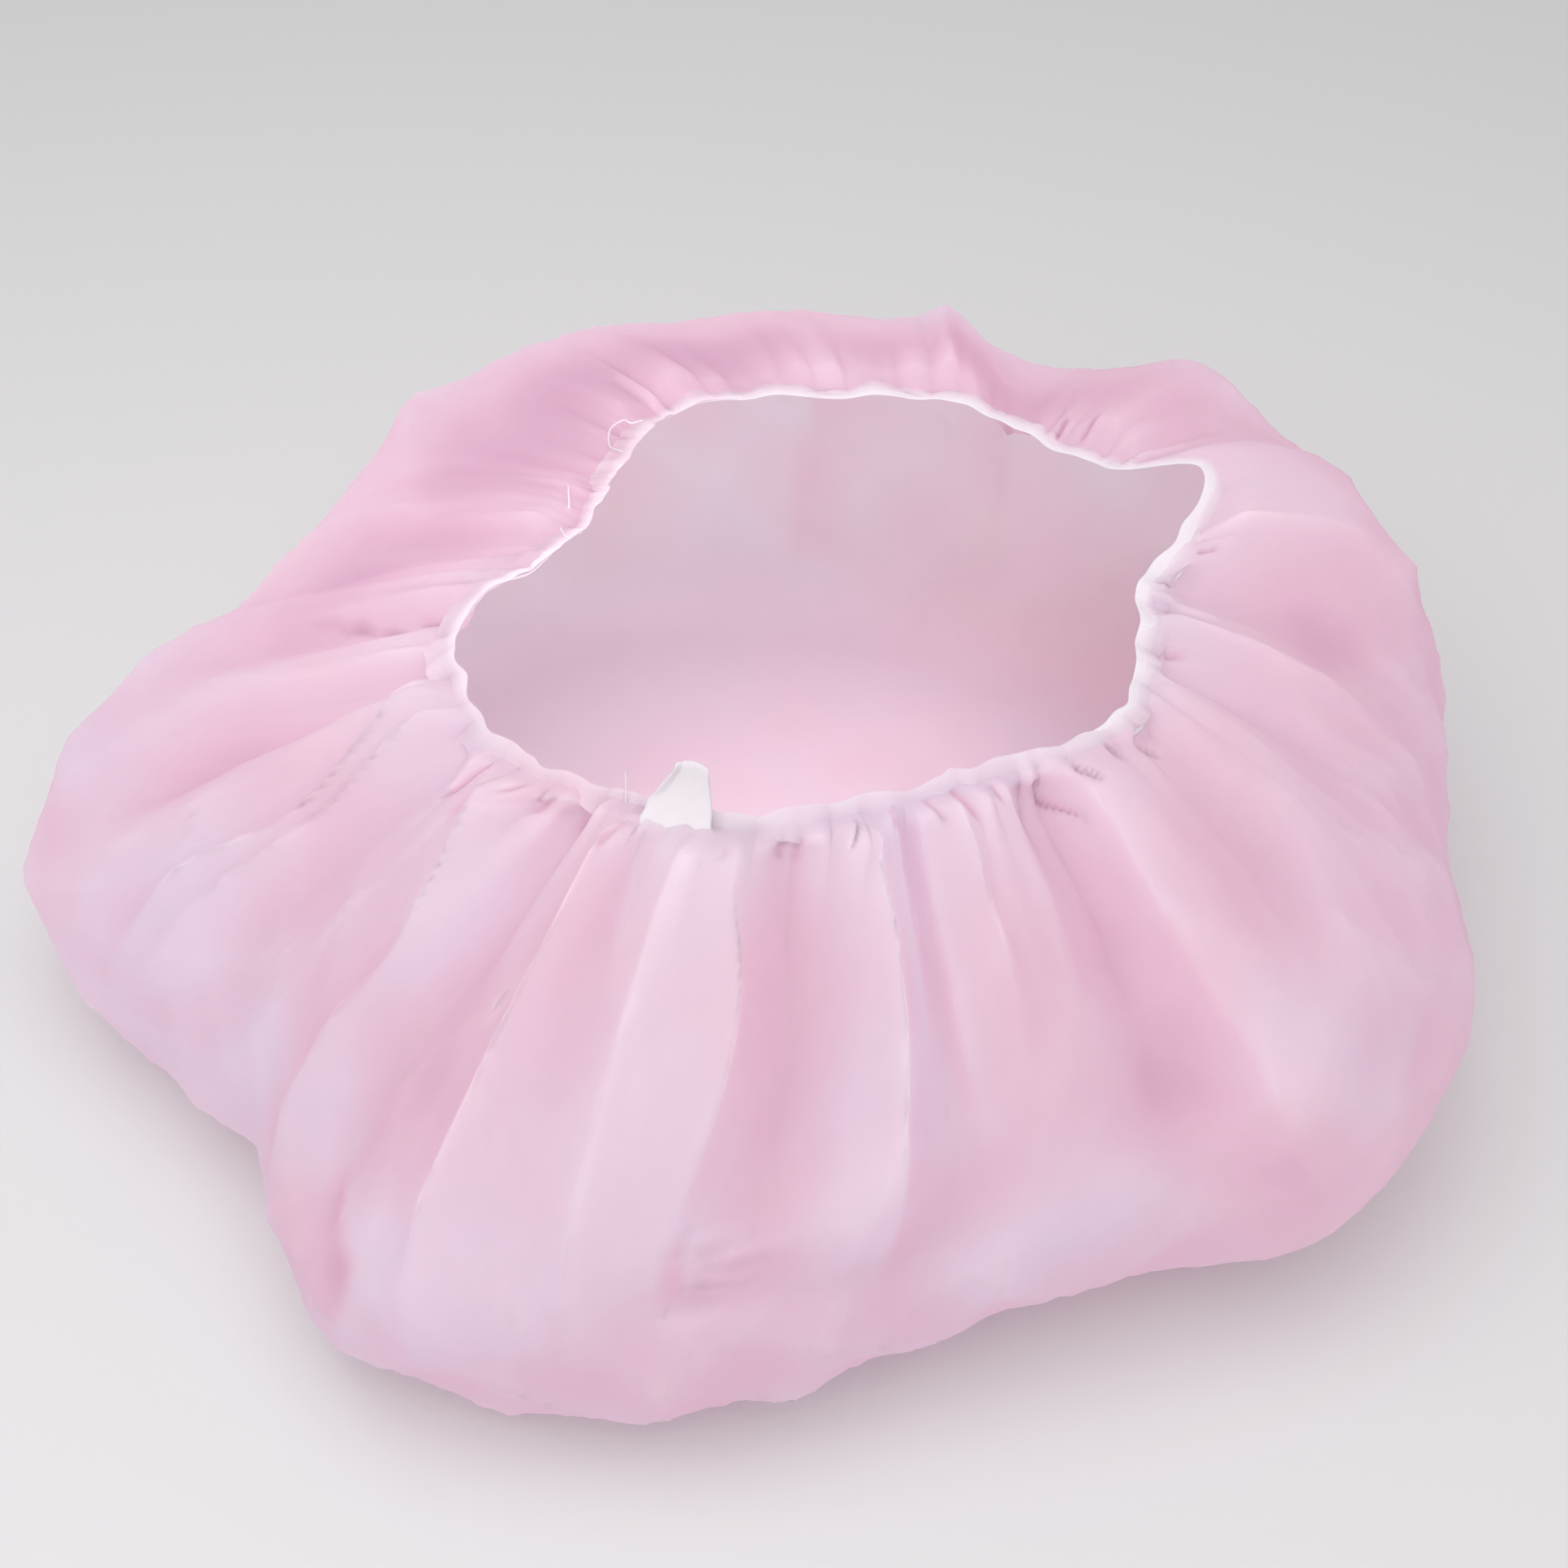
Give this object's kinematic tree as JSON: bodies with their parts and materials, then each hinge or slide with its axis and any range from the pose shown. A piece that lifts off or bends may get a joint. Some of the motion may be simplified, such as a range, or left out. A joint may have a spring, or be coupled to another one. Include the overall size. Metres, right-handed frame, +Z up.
{
  "type": "shower cap",
  "caption": "Soft gathered cloth shower cap lying on its crown, with a puckered elastic hem round its open mouth and a small blank label.",
  "frame": {"origin": "on the flat resting face of the crown, under the middle of the cap", "axes": "+Z up through the opening, +X to the right, -Y to the front, where the label is"},
  "size_m": [0.2836, 0.2614, 0.0865],
  "materials": {
    "pink_cloth": "soft matt woven cloth",
    "pale_pink_hem": "soft matt gathered cloth",
    "white_elastic": "matt ribbed elastic",
    "white_label": "smooth matt ribbon"
  },
  "bodies": {
    "root": {"crown": "pink_cloth", "hem": "pale_pink_hem", "elastic_band": "white_elastic", "tag": "white_label"}
  },
  "joints": []
}
